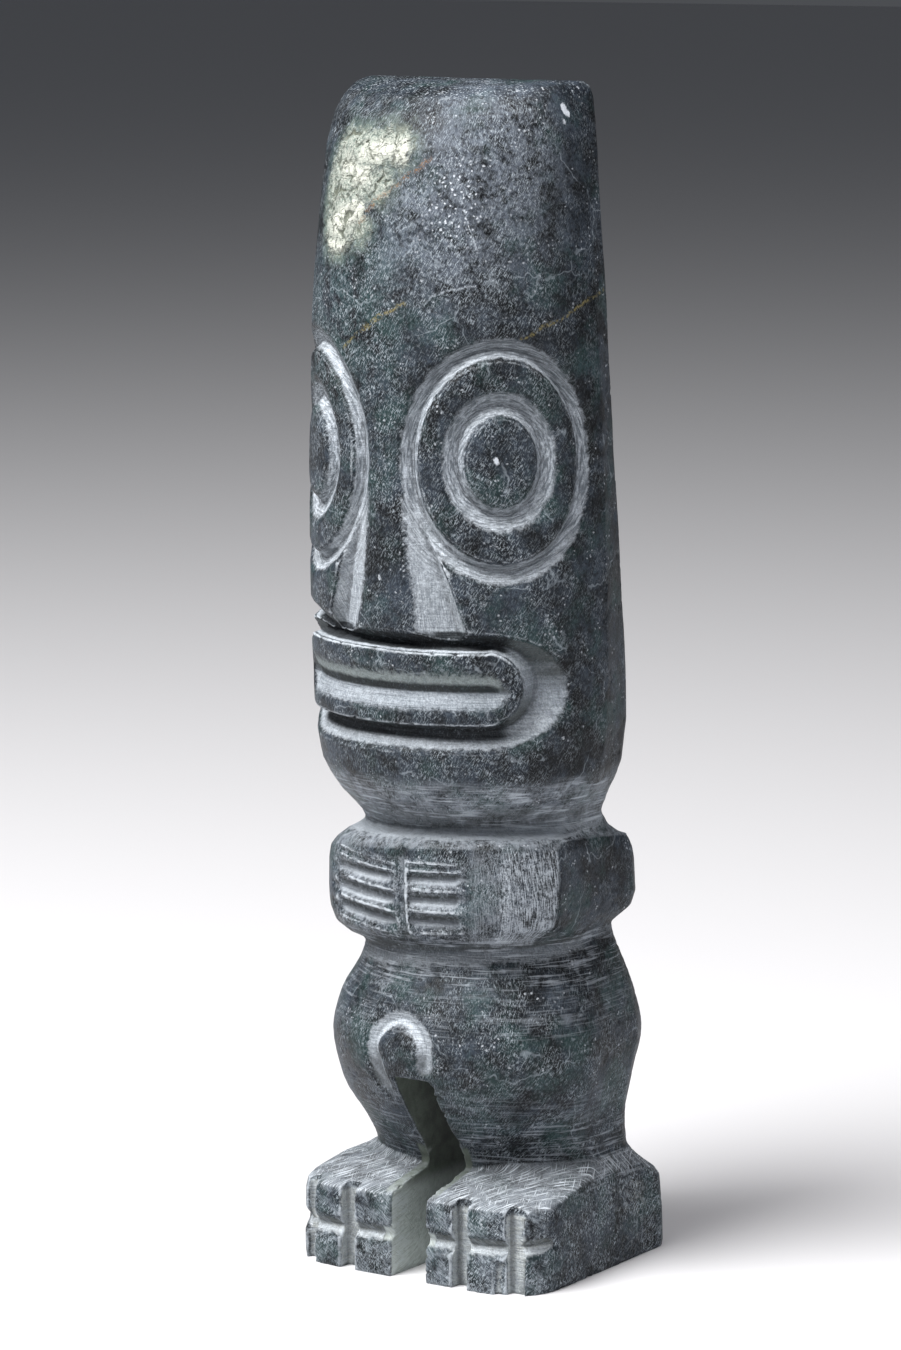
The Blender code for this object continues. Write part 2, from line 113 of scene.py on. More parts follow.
RUST_VEIN = ((6.3, 140.0), (4.3, 138.5), (0.9, 136.5), (-1.7, 135.0), (-4.1, 132.2))
GOLD_VEIN = ((-2.4, 119.8), (0.1, 121.3), (3.5, 122.7))
LOW_VEIN = ((-6.0, 117.1), (-3.1, 119.1), (0.2, 120.9))
GREEN_VEIN = ((18.8, 118.4), (21.5, 119.9), (24.5, 120.8), (28.0, 122.6), (33.5, 123.8))
PALE_VEIN = ((6.6, 123.5), (9.6, 124.4), (12.9, 125.0))
HAIRLINE = ((10.9, 135.2), (12.2, 131.6), (13.0, 129.0))

# The broken corner of the inner toe: its middle, its reach and that of its dark floor.
BROKEN_TOE = (3.9, -12.2, 1.0)
BROKEN_TOE_REACH = 1.1
BROKEN_TOE_FLOOR = 0.8

# Belts that a file went round: heights where each starts, is in full, fades and ends.
FILED_NECK = (55.5, 58.0, 63.5, 67.0)
FILED_WAIST = (37.0, 39.5, 42.5, 44.0)
FILED_ANKLES = (12.0, 14.0, 19.0, 24.0)
FILED_HIPS = (19.0, 24.0, 33.0, 38.0)
FILE_LINE_STRETCH = (6.0, 6.0, 0.6)
FILE_LINE_LEAN = (2.0, -3.0, 0.0)

# Bands of height for the finishes: from, to, and how soft the ends are.
NECK = (57.5, 62.5, 2.2)
WAIST = (38.0, 43.0, 1.6)
UPPER_HIP = (32.0, 36.0, 2.0)
LOWER_HIP = (18.0, 23.0, 3.0)
ANKLE = (12.5, 17.5, 3.0)
FOOT_SLOPE = (10.4, 23.0, 0.8)
FOOT_TOP = (9.5, 13.4, 1.0)
ARM_LEDGES = (41.0, 60.0, 2.0)
ARM_FRONT = (43.5, 54.5, 1.2)
# The next two bands hold the painted shade over and under the lips.
RECESS_OVER_LIPS = (80.4, 82.7, 0.3)
RECESS_UNDER_LIPS = (69.2, 71.9, 0.3)

# Where the painted shade of the mouth's recesses runs, from side to side.
RECESS_WAY = (-20.0, 16.5, 2.5)

# Zones on the skin: a band of height, and a band of millimetres round from the front.
HANDS = ((43.5, 53.5, 0.5), (-20.0, 11.5, 0.6))
LIP_SLOT = ((72.8, 79.0, 0.5), (-19.0, 15.8, 0.8))
NOSE_FLANK = ((83.2, 97.0, 0.7), (-9.0, 11.0, 1.0))
ARCH = ((24.0, 37.0, 1.0), (-8.5, 8.0, 1.0))

# The slot between the legs: half its width with its lips, its sides for the finish, its top.
SLOT_HALF_WIDTH = 3.4
SLOT_SIDES = (-3.6, 3.8, 0.3)
SLOT_TOP = 27.0

# The camera: degrees round and down, metres away, and the point that it looks at.
VIEW_TURN = 34.0
VIEW_PITCH = 8.85
VIEW_DISTANCE = 0.632
VIEW_TARGET_HEIGHT = 0.07506
VIEW_SIDE_STEP = -0.00117
VIEW_BACK_STEP = -0.00165

# Each soft light: name, width, steps to the right, back and up from the target, and tone.
LIGHTS = (
    ("key", 0.46, (-0.40, 0.28, 0.70), (1.0, 0.99, 0.98)),
    ("fill", 0.35, (0.55, 0.42, 0.10), (0.96, 0.97, 1.0)),
    ("top", 0.60, (0.10, 0.12, 0.75), (1.0, 0.97, 0.98)),
)
SKY_TONE = (0.80, 0.84, 0.92, 1.0)


def seen(red, green, blue):
    """A colour as it looks on screen, turned to the linear values that shaders take."""
    shades = []
    for value in (red, green, blue):
        part = value / 255.0
        shades.append(part / 12.92 if part <= 0.04045 else ((part + 0.055) / 1.055) ** 2.4)
    return tuple(shades)


def paint(name, description, shade):
    """A colour that the user may change."""
    return FloatVectorProperty(name=name, description=description, default=seen(*shade),
                               subtype="COLOR", size=3, min=0.0, max=1.0)


def length(name, description, default, low=0.0, high=0.001):
    """A length in metres that the user may change."""
    return FloatProperty(name=name, description=description, default=default,
                         min=low, max=high, unit="LENGTH")


def power(name, description, default):
    """The power of a light, which the user may change."""
    return FloatProperty(name=name, description=description, default=default,
                         min=0.0, max=100.0, unit="POWER")


class FigureSettings(bpy.types.PropertyGroup):
    """Sizes and colours of the carved stone."""

    grain_size: length("Remesh Size", "Size of the cells that the solid is remade in",
                       0.00025, 0.0002, 0.002)
    edge_passes: IntProperty(
        name="Edge Rounding", description="Smoothing passes that take the sharpness off the edges",
        default=3, min=0, max=20)
    rub_height: length("Rubbed Waves", "Height of the slow waves left by rubbing down", 0.00022)
    tool_height: length("Tool Marks", "Height of the rough marks in the carved grooves", 0.00022)
    file_height: length("File Lines", "Height of the level file lines at neck, waist and ankles",
                        0.00012)
    finger_depth: length("Finger Grooves", "How much deeper the gaps between the fingers are made",
                         0.00065)
    chip_depth: length("Edge Chips", "Depth of the chips along the edges", 0.0005, high=0.002)
    pit_depth: length("Pits", "Depth of the small pits in the skin", 0.00010)
    crust_height: length("Crust", "Height of the crumbly relief of the cream crust", 0.00030)
    crack_depth: length("Crust Cracks", "Depth of the cracks between the crust's flakes", 0.00028)
    triangle_limit: IntProperty(
        name="Triangle Limit", description="The most triangles that the piece keeps",
        default=190000, min=20000, max=199000)
    stone: paint("Stone", "The dark stone between the clouds", (10, 12, 15))
    cloud: paint("Cloud", "The blue-grey clouds in the stone", (50, 58, 68))
    teal: paint("Teal", "The green cast in the stone", (42, 64, 64))
    # A painted sheen: the key light's broad reflection on the brow, put into the colour.
    brow_sheen: paint("Haze", "The haze of fine scratches on the brow", (120, 128, 140))
    stroke: paint("Strokes", "The fine light strokes in the polish", (172, 182, 190))
    crystal: paint("Crystals", "The white crystal specks", (212, 218, 226))
    groove_dark: paint("Groove Shade", "The darker streaks of a carved groove", (120, 128, 136))
    # A painted shade for the walls of grooves that face down.
    groove_underside_shade: paint("Groove Underside", "The dull overhanging walls of a groove", (66, 70, 68))
    groove_light: paint("Groove Light", "The lighter streaks of a carved groove", (190, 198, 207))
    # Partly the floors' own pale dust, partly painted light that lifts the shade of their walls.
    foot_groove: paint("Toe Grooves", "The light floors of the toe grooves", (228, 231, 220))
    # This colour is the rubbed edges' own, and also painted light on groove slopes that face up.
    worn_edge_and_lit_slope: paint("Worn Edge", "The rubbed edges", (214, 222, 230))
    foot_wall: paint("Foot Wall", "The rubbed inner walls of the feet", (188, 196, 194))
    slot_wall: paint("Slot Wall", "The smooth walls between the legs", (98, 106, 98))
    slot_lip: paint("Lip Slot", "The rubbed upper wall of the slot in the lips", (150, 160, 158))
    patch: paint("Crust", "The cream crust on the brow", (208, 211, 200))
    patch_crack: paint("Crust Cracks", "The brown cracks in the crust", (96, 94, 78))
    patch_edge: paint("Crust Edge", "The grey-green halo of the crust", (112, 126, 118))
    rust: paint("Rust", "The rusty vein beside the crust", (132, 98, 66))
    gold: paint("Gold", "The thin gold and green veins", (128, 118, 78))


class StageSettings(bpy.types.PropertyGroup):
    """Floor, lights and camera."""

    floor_width: length("Floor Width", "Width of the pale floor", 12.0, 1.0, 40.0)
    floor_tone: paint("Floor", "The pale floor", (216, 216, 218))
    key_power: power("Key Power", "Power of the soft light from the left", 16.0)
    top_power: power("Top Power", "Power of the soft light from above", 3.0)
    fill_power: power("Fill Power", "Power of the faint soft light from the right", 0.7)
    sky_strength: FloatProperty(
        name="Sky", description="Strength of the plain surroundings",
        default=0.09, min=0.0, max=3.0)
    lens: FloatProperty(
        name="Lens", description="Focal length in millimetres",
        default=135.0, min=20.0, max=300.0)


def only(piece):
    """Selects one object and makes it the active one."""
    bpy.ops.object.select_all(action="DESELECT")
    piece.select_set(True)
    bpy.context.view_layer.objects.active = piece


def finish_with(piece, kind, **settings):
    """Adds a modifier, sets it and applies it."""
    only(piece)
    modifier = piece.modifiers.new(kind.title(), kind)
    for name, value in settings.items():
        setattr(modifier, name, value)
    bpy.ops.object.modifier_apply(modifier=modifier.name)


def cut_in(piece, depth, group, texture=None):
    """Pushes a vertex group in by a depth, or by a texture's share of that depth."""
    finish_with(piece, "DISPLACE", strength=-depth, mid_level=0.0, texture=texture,
                vertex_group=group)


def roughen(piece, height, texture, group="", **settings):
    """Raises and lowers the skin about its own place, as a texture says."""
    finish_with(piece, "DISPLACE", strength=height, mid_level=0.5, texture=texture,
                vertex_group=group, **settings)


def pattern(name, kind, size, detail=0, stops=None):
    """A procedural texture for relief, with a size in millimetres and the stops of a ramp."""
    texture = bpy.data.textures.new(name, kind)
    texture.noise_scale = size * MM
    if kind == "CLOUDS":
        texture.noise_depth = detail
    if stops:
        texture.use_color_ramp = True
        for element, (position, shade) in zip(texture.color_ramp.elements, stops):
            element.position = position
            element.color = (shade, shade, shade, 1.0)
    return texture


def places(mesh):
    """The corners of a mesh, in millimetres."""
    flat = np.empty(len(mesh.vertices) * 3, np.float32)
    mesh.vertices.foreach_get("co", flat)
    return flat.reshape(-1, 3).astype(np.float64) / MM


def facings(mesh):
    """The directions that the corners of a mesh face."""
    flat = np.empty(len(mesh.vertices) * 3, np.float32)
    mesh.vertices.foreach_get("normal", flat)
    return flat.reshape(-1, 3).astype(np.float64)


def keep_on_mesh(mesh, name, values):
    """Stores one number for each corner, for the material to read."""
    attribute = mesh.attributes.new(name, "FLOAT", "POINT")
    attribute.data.foreach_set("value", values.astype(np.float32))


def weigh(piece, name, share):
    """A vertex group from an array of shares, in even steps."""
    group = piece.vertex_groups.new(name=name)
    steps = np.rint(np.clip(share, 0.0, 1.0) * WEIGHT_STEPS).astype(int)
    for step in range(1, WEIGHT_STEPS + 1):
        group.add(np.flatnonzero(steps == step).tolist(), step / WEIGHT_STEPS, "REPLACE")


def eased(value, low, high):
    """0 up to low, 1 from high on, and a soft rise between."""
    part = np.clip((value - low) / (high - low), 0.0, 1.0)
    return part * part * (3.0 - 2.0 * part)


def belt(height, start, full, fade, end):
    """1 between full and fade, 0 below start and above end."""
    return eased(height, start, full) * (1 - eased(height, fade, end))


def uncut_skin(spots):
    """How far the stone reached in each level band and compass direction before carving."""
    bands = np.clip((spots[:, 2] / BAND).astype(int), 0, None)
    order = np.argsort(bands, kind="stable")
    kinds, starts = np.unique(bands[order], return_index=True)
    reach = np.full((bands.max() + 1, COMPASS), -FAR)
    for step in range(COMPASS):
        turn = 2 * math.pi * step / COMPASS
        along = spots[:, 0] * math.cos(turn) + spots[:, 1] * math.sin(turn)
        reach[kinds, step] = np.maximum.reduceat(along[order], starts)
    heights = (np.arange(len(reach)) + 0.5) * BAND
    spans = np.where(heights > WIDE_GROOVES_FROM, WIDE_REACH, NARROW_REACH) / BAND
    margin = int(WIDE_REACH / BAND)
    reach = np.pad(reach, ((margin, margin), (0, 0)), constant_values=-FAR)
    spans = np.pad(spans, margin, mode="edge").astype(int)
    # The furthest reach of the bands around, and then the least of those, fills the grooves.
    for pick in (np.max, np.min):
        rows = [pick(reach[max(0, row - span):row + span + 1], axis=0)
                for row, span in enumerate(spans)]
        reach = np.array(rows)
    return reach[margin:-margin]


def cut_depth(spots, reach):
    """The depth of each spot under the uncut skin, in millimetres."""
    level = np.clip(spots[:, 2] / BAND - 0.5, 0, len(reach) - 1.001)
    row = level.astype(int)
    part = level - row
    depth = np.full(len(spots), FAR)
    for step in range(COMPASS):
        turn = 2 * math.pi * step / COMPASS
        edge = reach[row, step] * (1 - part) + reach[row + 1, step] * part
        along = spots[:, 0] * math.cos(turn) + spots[:, 1] * math.sin(turn)
        depth = np.minimum(depth, edge - along)
    return np.clip(depth, 0.0, None)


def bulge(mesh, passes):
    """How far each corner stands out of its smoothed surroundings, in millimetres."""
    ends = np.empty(len(mesh.edges) * 2, np.int32)
    mesh.edges.foreach_get("vertices", ends)
    ends = ends.reshape(-1, 2)
    spots = places(mesh)
    count = len(spots)
    links = np.bincount(ends.ravel(), minlength=count).clip(1)
    away_side_shade = spots.copy()
    for _ in range(passes):
        total = np.empty_like(away_side_shade)
        for axis in range(3):
            total[:, axis] = (
                np.bincount(ends[:, 0], weights=away_side_shade[ends[:, 1], axis], minlength=count)
                + np.bincount(ends[:, 1], weights=away_side_shade[ends[:, 0], axis], minlength=count))
        away_side_shade = 0.5 * away_side_shade + 0.5 * total / links[:, None]
    return ((spots - away_side_shade) * facings(mesh)).sum(axis=1)


def skin_places(spots):
    """Millimetres round from the front, and height, of each spot."""
    round_way = SKIN_RADIUS * np.arctan2(spots[:, 0], -(spots[:, 1] - SKIN_CENTRE_Y))
    return round_way, spots[:, 2]


def inside_bars(round_way, height, bars):
    """How far, in millimetres, each place lies inside the nearest of several rounded bars."""
    best = np.full(len(height), -FAR)
    for (first_way, first_up), (last_way, last_up), radius in bars:
        way, up = last_way - first_way, last_up - first_up
        along = (round_way - first_way) * way + (height - first_up) * up
        along = np.clip(along / (way * way + up * up), 0.0, 1.0)
        away = np.hypot(round_way - first_way - way * along, height - first_up - up * along)
        best = np.maximum(best, radius - away)
    return best


def finger_gaps(round_way, height):
    """The hollows between the fingers: 1 at a hollow's floor, 0 on the fingers."""
    gaps = np.zeros(len(height))
    for first, last, lean, drop in FINGER_RUNS:
        begun = eased(round_way, first - 0.6, first + 0.6)
        within = begun * eased(-round_way, -last - 0.9, -last + 0.9)
        rise = drop + lean * (last - round_way) / (last - first)
        for groove, share, reach in FINGER_GROOVES:
            away = np.abs(height - groove - rise)
            gaps = np.maximum(gaps, share * within * np.clip(1.15 - away / reach, 0, 1))
    return gaps


def flake_cracks(round_way, height):
    """The bent cracks between the crust's flakes: 1 in a crack, 0 beside it."""
    bent_way = round_way + 0.6 * np.sin(height * 1.3) + 0.22 * np.sin(height * 3.9 + 1.0)
    bent_up = height + 0.6 * np.sin(round_way * 1.5) + 0.22 * np.sin(round_way * 4.3 + 2.0)
    middles = np.random.default_rng(FLAKE_SEED).uniform(*FLAKE_FIELD, (FLAKE_COUNT, 2))
    nearest = np.full(len(height), FAR)
    second = nearest.copy()
    for way, up in middles:
        away = np.hypot(bent_way - way, (bent_up - up) * 0.8)
        second = np.minimum(second, np.maximum(nearest, away))
        nearest = np.minimum(nearest, away)
    return np.clip(1.0 - (second - nearest) / FLAKE_GAP, 0.0, 1.0)


def copy_solid(settings):
    """The solid's mesh as a new piece, merged, remade finely and smoothed at its edges."""
    piece = bpy.data.objects.new(PIECE_NAME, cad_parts[SOLID_NAME].data.copy())
    piece.data.name = PIECE_NAME
    piece.data.materials.clear()
    bpy.context.scene.collection.objects.link(piece)
    only(piece)
    bpy.ops.object.mode_set(mode="EDIT")
    bpy.ops.mesh.select_all(action="SELECT")
    bpy.ops.mesh.remove_doubles(threshold=MERGE_DISTANCE)
    bpy.ops.object.mode_set(mode="OBJECT")
    finish_with(piece, "REMESH", mode="VOXEL", voxel_size=settings.grain_size)
    height = places(piece.data)[:, 2]
    weigh(piece, "rounded", eased(height, 10.0, 26.0) * 0.7 + 0.3)
    finish_with(piece, "SMOOTH", factor=0.5, iterations=settings.edge_passes,
                vertex_group="rounded")
    return piece


def measure_skin(piece):
    """Stores what the material reads, and weighs the places that each relief goes to."""
    spots = places(piece.data)
    round_way, height = skin_places(spots)
    depth = cut_depth(spots, uncut_skin(spots))
    stand = bulge(piece.data, BULGE_PASSES)
    crust = eased(inside_bars(round_way, height, PATCH_BODY), -1.0, 1.0)
    crusted = np.flatnonzero(crust)
    cracks = np.zeros(len(spots))
    cracks[crusted] = flake_cracks(round_way[crusted], height[crusted])
    measures = {"cut_depth": depth, "edge_wear": stand, "faces_up": facings(piece.data)[:, 2],
                "crust_crack": cracks}
    for name, values in measures.items():
        keep_on_mesh(piece.data, name, values)

    edges = eased(stand, *EDGE_BULGE)
    cuts = eased(depth, 0.3, 0.9) * eased(height, 10.0, 22.0)
    slot = (np.abs(spots[:, 0]) < SLOT_HALF_WIDTH) & (height < SLOT_TOP)
    filed = belt(height, *FILED_NECK) + belt(height, *FILED_WAIST)
    filed = filed + 0.8 * belt(height, *FILED_ANKLES) + 0.12 * belt(height, *FILED_HIPS)
    broken = 1.3 - np.linalg.norm(spots - BROKEN_TOE, axis=1) / BROKEN_TOE_REACH
    groups = {"cuts": cuts * ~slot, "edges": edges, "filed": np.clip(filed, 0, 1) * ~slot,
              "skin": (1 - cuts) * (1 - edges), "broken": broken, "crust": crust,
              "cracks": crust * cracks}
    for name, share in groups.items():
        weigh(piece, name, share)


def add_relief(piece, settings):
    """The waves, tool marks, file lines, chips, pits, crumbs and cracks of the worked stone."""
    roughen(piece, settings.rub_height, pattern("rubbed waves", "CLOUDS", 9.0, 1))
    roughen(piece, settings.tool_height, pattern("tool marks", "CLOUDS", 0.9, 2), "cuts")
    file_place = bpy.data.objects.new("file_lines", None)
    file_place.scale = FILE_LINE_STRETCH
    file_place.rotation_euler = [math.radians(lean) for lean in FILE_LINE_LEAN]
    bpy.context.scene.collection.objects.link(file_place)
    bpy.context.view_layer.update()
    roughen(piece, settings.file_height, pattern("file lines", "CLOUDS", 1.0, 2), "filed",
            texture_coords="OBJECT", texture_coords_object=file_place)
    bpy.data.objects.remove(file_place)
    chips = pattern("edge chips", "CLOUDS", 1.3, 2, stops=((0.56, 0.0), (0.74, 1.0)))
    cut_in(piece, settings.chip_depth, "edges", chips)
    pits = pattern("pits", "VORONOI", 1.5, stops=((0.10, 1.0), (0.30, 0.0)))
    cut_in(piece, settings.pit_depth, "skin", pits)
    cut_in(piece, settings.chip_depth, "broken")
    roughen(piece, settings.crust_height, pattern("crust crumbs", "CLOUDS", 1.1, 2), "crust")
    cut_in(piece, settings.crack_depth, "cracks")


def settle_on_floor(piece, below):
    """Flattens the soles, which lie below a height in millimetres, onto the floor."""
    mesh = piece.data
    low = places(mesh)[:, 2] < below
    mesh.vertices.foreach_set("select", low)
    mesh.edges.foreach_set("select", np.zeros(len(mesh.edges), bool))
    mesh.polygons.foreach_set("select", np.zeros(len(mesh.polygons), bool))
    only(piece)
    bpy.context.tool_settings.mesh_select_mode = (True, False, False)
    bpy.ops.object.mode_set(mode="EDIT")
    bpy.ops.transform.resize(value=(1, 1, 0), center_override=(0, 0, 0))
    bpy.ops.object.mode_set(mode="OBJECT")


def carve_piece(settings):
    """The solid, remade finely, with rounded edges and the relief of the worked stone."""
    piece = copy_solid(settings)
    weigh(piece, "fingers", finger_gaps(*skin_places(places(piece.data))))
    cut_in(piece, settings.finger_depth, "fingers")
    measure_skin(piece)
    add_relief(piece, settings)
    settle_on_floor(piece, 0.3)
    piece.vertex_groups.clear()
    triangles = sum(len(face.vertices) - 2 for face in piece.data.polygons)
    finish_with(piece, "DECIMATE", ratio=min(1.0, settings.triangle_limit / triangles))
    finish_with(piece, "TRIANGULATE")
    settle_on_floor(piece, 0.05)
    only(piece)
    bpy.ops.object.shade_smooth()
    return piece


class Wire:
    """A node's output that takes part in Python arithmetic."""

    def __init__(self, bench, socket):
        self.bench = bench
        self.socket = socket

    def __add__(self, other):
        return self.bench.math("ADD", self, other)

    __radd__ = __add__

    def __sub__(self, other):
        return self.bench.math("SUBTRACT", self, other)

    def __rsub__(self, other):
        return self.bench.math("SUBTRACT", other, self)

    def __mul__(self, other):
        return self.bench.math("MULTIPLY", self, other)

    __rmul__ = __mul__


class Bench:
    """Puts the nodes of one material together."""

    def __init__(self, name):
        self.material = bpy.data.materials.new(name)
        self.material.use_nodes = True
        self.tree = self.material.node_tree
        self.tree.nodes.clear()

    def node(self, kind, settings=None, inputs=None, output=0):
        """Adds a node, sets it, fills or links its sockets and returns one output."""
        made = self.tree.nodes.new(kind)
        for name, value in (settings or {}).items():
            setattr(made, name, value)
        for socket, value in (inputs or {}).items():
            if isinstance(value, Wire):
                self.tree.links.new(value.socket, made.inputs[socket])
            else:
                made.inputs[socket].default_value = value
        return Wire(self, made.outputs[output]) if made.outputs else None

    def stored(self, name):
        """A number that the mesh keeps for each corner."""
        return self.node("ShaderNodeAttribute", {"attribute_name": name}, None, 2)

    def math(self, operation, *values):
        """One Math node."""
        return self.node("ShaderNodeMath", {"operation": operation}, dict(enumerate(values)))

    def fold(self, operation, values):
        """Several values taken together by Math nodes, such as their least or greatest."""
        return functools.reduce(lambda first, second: self.math(operation, first, second), values)

    def clamp(self, value):
        """A value kept between 0 and 1."""
        return self.node("ShaderNodeClamp", None, {0: value})

    def vector(self, operation, first, second=None, output=0):
        """One Vector Math node; the second value is a number where it scales."""
        inputs = {0: first}
        if second is not None:
            inputs[3 if operation == "SCALE" else 1] = second
        return self.node("ShaderNodeVectorMath", {"operation": operation}, inputs, output)

    def dot(self, first, second):
        """The dot product of two vectors."""
        return self.vector("DOT_PRODUCT", first, second, 1)

    def length(self, first):
        """The length of a vector."""
        return self.vector("LENGTH", first, None, 1)

    def join(self, x, y, z=0.0):
        """A vector from its parts."""
        return self.node("ShaderNodeCombineXYZ", None, {0: x, 1: y, 2: z})

    def split(self, place):
        """The three parts of a vector."""
        return [self.node("ShaderNodeSeparateXYZ", None, {0: place}, axis) for axis in range(3)]

    def rise(self, value, low, high, bottom=0.0, top=1.0):
        """A soft step from bottom to top between low and high."""
        return self.node("ShaderNodeMapRange", {"interpolation_type": "SMOOTHSTEP"},
                         {0: value, 1: low, 2: high, 3: bottom, 4: top})

    def band(self, value, low, high, soft):
        """1 between low and high, 0 outside, with soft ends."""
        return self.rise(value, low - soft, low) * self.rise(value, high + soft, high)

    def mix(self, share, first, second):
        """A colour between two colours."""
        colours = {0: share}
        for socket, value in ((6, first), (7, second)):
            colours[socket] = value if isinstance(value, Wire) else (*value[:3], 1.0)
        return self.node("ShaderNodeMix", {"data_type": "RGBA"}, colours, 2)

    def noise(self, place, size, detail=2.0, rough=0.5, twist=0.0, output=0):
        """Soft noise; size is that of its patches in millimetres."""
        return self.node("ShaderNodeTexNoise", None, {
            "Vector": place, "Scale": 1.0 / size, "Detail": detail, "Roughness": rough,
            "Distortion": twist}, output)

    def cells(self, place, size, feature="F1"):
        """Cell pattern; size is that of its cells in millimetres."""
        return self.node("ShaderNodeTexVoronoi", {"feature": feature},
                         {"Vector": place, "Scale": 1.0 / size})

    def shifted(self, place, x, y, z=0.0):
        """A place moved aside, so that a pattern there differs from the others."""
        return self.vector("ADD", place, (x, y, z))

    def stretched(self, place, x, y, z=1.0):
        """A place scaled along its axes."""
        return self.vector("MULTIPLY", place, (x, y, z))

    def wobble(self, place, size, height):
        """The place, pushed about by noise of a size, by up to about a height."""
        push = self.noise(place, size, 3.0, 0.6, output=1)
        centred = self.vector("SUBTRACT", push, (0.5, 0.5, 0.5))
        return self.vector("ADD", place, self.vector("SCALE", centred, 2.0 * height))

    def from_run(self, place, start, end):
        """Distance of a place on the skin from a straight run."""
        run = (end[0] - start[0], end[1] - start[1], 0.0)
        squared = run[0] ** 2 + run[1] ** 2
        offset = self.shifted(place, -start[0], -start[1])
        share = self.clamp(self.dot(offset, run) * (1.0 / squared))
        return self.length(self.vector("SUBTRACT", offset, self.vector("SCALE", run, share)))

    def from_lines(self, place, *lines):
        """Distance of a place on the skin from the nearest of several lines through points."""
        return self.fold("MINIMUM", [self.from_run(place, start, end) for points in lines
                                     for start, end in zip(points, points[1:])])

    def inside(self, place, bars):
        """How deep a place on the skin lies inside a group of rounded bars."""
        return self.fold("MAXIMUM", [radius - self.from_run(place, start, end)
                                     for start, end, radius in bars])

    def strokes(self, place, lean, width, length, low, high):
        """Fine strokes that lean by an angle from upright, in the first two coordinates."""
        lean = math.radians(lean)
        across = self.dot(place, (math.cos(lean) / width, math.sin(lean) / width, 0.0))
        along = self.dot(place, (-math.sin(lean) / length, math.cos(lean) / length, 0.0))
        return self.rise(self.noise(self.join(across, along), 1.0, 2.0, 0.6), low, high)


class Readings:
    """What the finishes of the stone share: places, stored measures, noise and zones."""

    def __init__(self, bench):
        self.bench = bench
        coordinates = bench.node("ShaderNodeTexCoord", None, None, 3)
        place = bench.vector("SCALE", coordinates, 1.0 / MM)
        x, y, z = bench.split(place)
        self.place, self.x, self.y, self.z = place, x, y, z
        self.around = bench.math("ARCTAN2", x, SKIN_CENTRE_Y - y) * SKIN_RADIUS
        self.skin = bench.join(self.around, z)
        self.depth = bench.stored("cut_depth")
        self.stand = bench.stored("edge_wear")
        self.faces_up = bench.stored("faces_up")

        self.broad = bench.noise(place, 9.0, 3.0, 0.55)
        self.middle = bench.noise(place, 2.6, 4.0, 0.62, 0.4)
        self.small = bench.noise(bench.shifted(place, 40.0, 11.0, 7.0), 0.7, 3.0, 0.65)
        self.fine = bench.noise(place, 0.22, 2.0, 0.7)
        self.level = bench.noise(bench.stretched(place, 0.16, 0.16, 3.2), 1.0, 3.0, 0.65)
        self.upright = bench.strokes(self.skin, 8.0, 0.16, 1.8, 0.35, 0.7)
        self.slant = bench.strokes(bench.shifted(self.skin, 12.0, 50.0), 60.0, 0.2, 1.4, 0.35, 0.72)

        self.neck = bench.band(z, *NECK)
        self.waist = bench.band(z, *WAIST)
        self.foot_slope = bench.band(z, *FOOT_SLOPE)
        self.hands = self.zone(*HANDS)
        self.lip_slot = self.zone(*LIP_SLOT)
        by_slot = bench.band(x, *SLOT_SIDES) * bench.rise(z, SLOT_TOP, SLOT_TOP - 1.0)
        self.by_slot = by_slot * bench.rise(y, -19.3, -18.9)
        self.slot = self.by_slot * bench.rise(self.depth, 0.3, 0.7)

    def zone(self, heights, ways):
        """1 in a band of height and a band of millimetres round from the front."""
        return self.bench.band(self.z, *heights) * self.bench.band(self.around, *ways)


